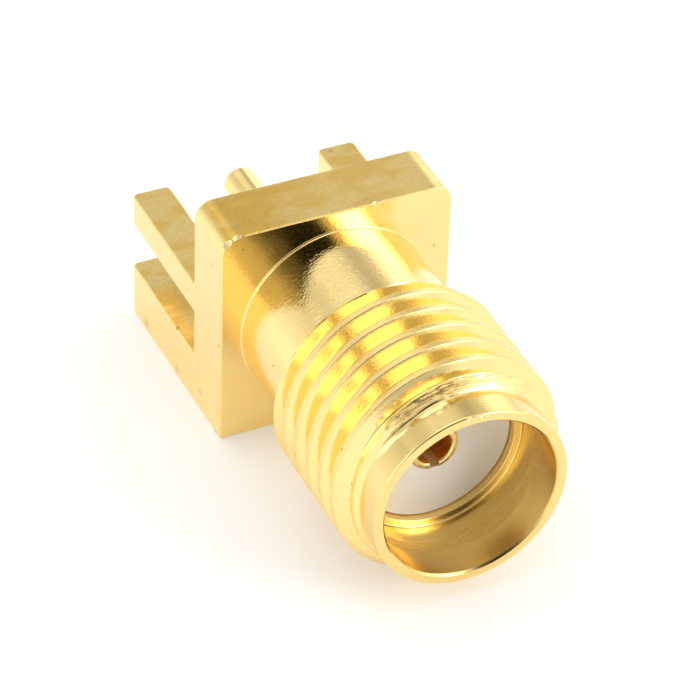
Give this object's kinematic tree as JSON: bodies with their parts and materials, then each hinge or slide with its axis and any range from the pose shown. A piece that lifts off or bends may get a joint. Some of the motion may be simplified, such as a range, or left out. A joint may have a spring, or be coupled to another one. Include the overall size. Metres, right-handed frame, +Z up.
{
  "type": "coaxial jack connector",
  "caption": "Gold-plated coaxial jack for a board edge: threaded barrel, square flange, white sleeve with a split socket, and legs and a pin that straddle the board.",
  "frame": {"origin": "on the connector's axis at the flange's back face, where the board's edge stops", "axes": "+Y along the axis from the mouth to the solder pin, +Z up from the lower legs to the upper ones, +X to the right as seen from the mouth"},
  "size_m": [0.0064, 0.0141, 0.0064],
  "materials": {
    "plated_body": "gold plated, bright with fine turning marks",
    "sleeve": "white PTFE, waxy",
    "plated_contact": "gold plated, bright"
  },
  "bodies": {
    "root": {"body": "plated_body", "insulator": "sleeve", "center_contact": "plated_contact"}
  },
  "joints": []
}
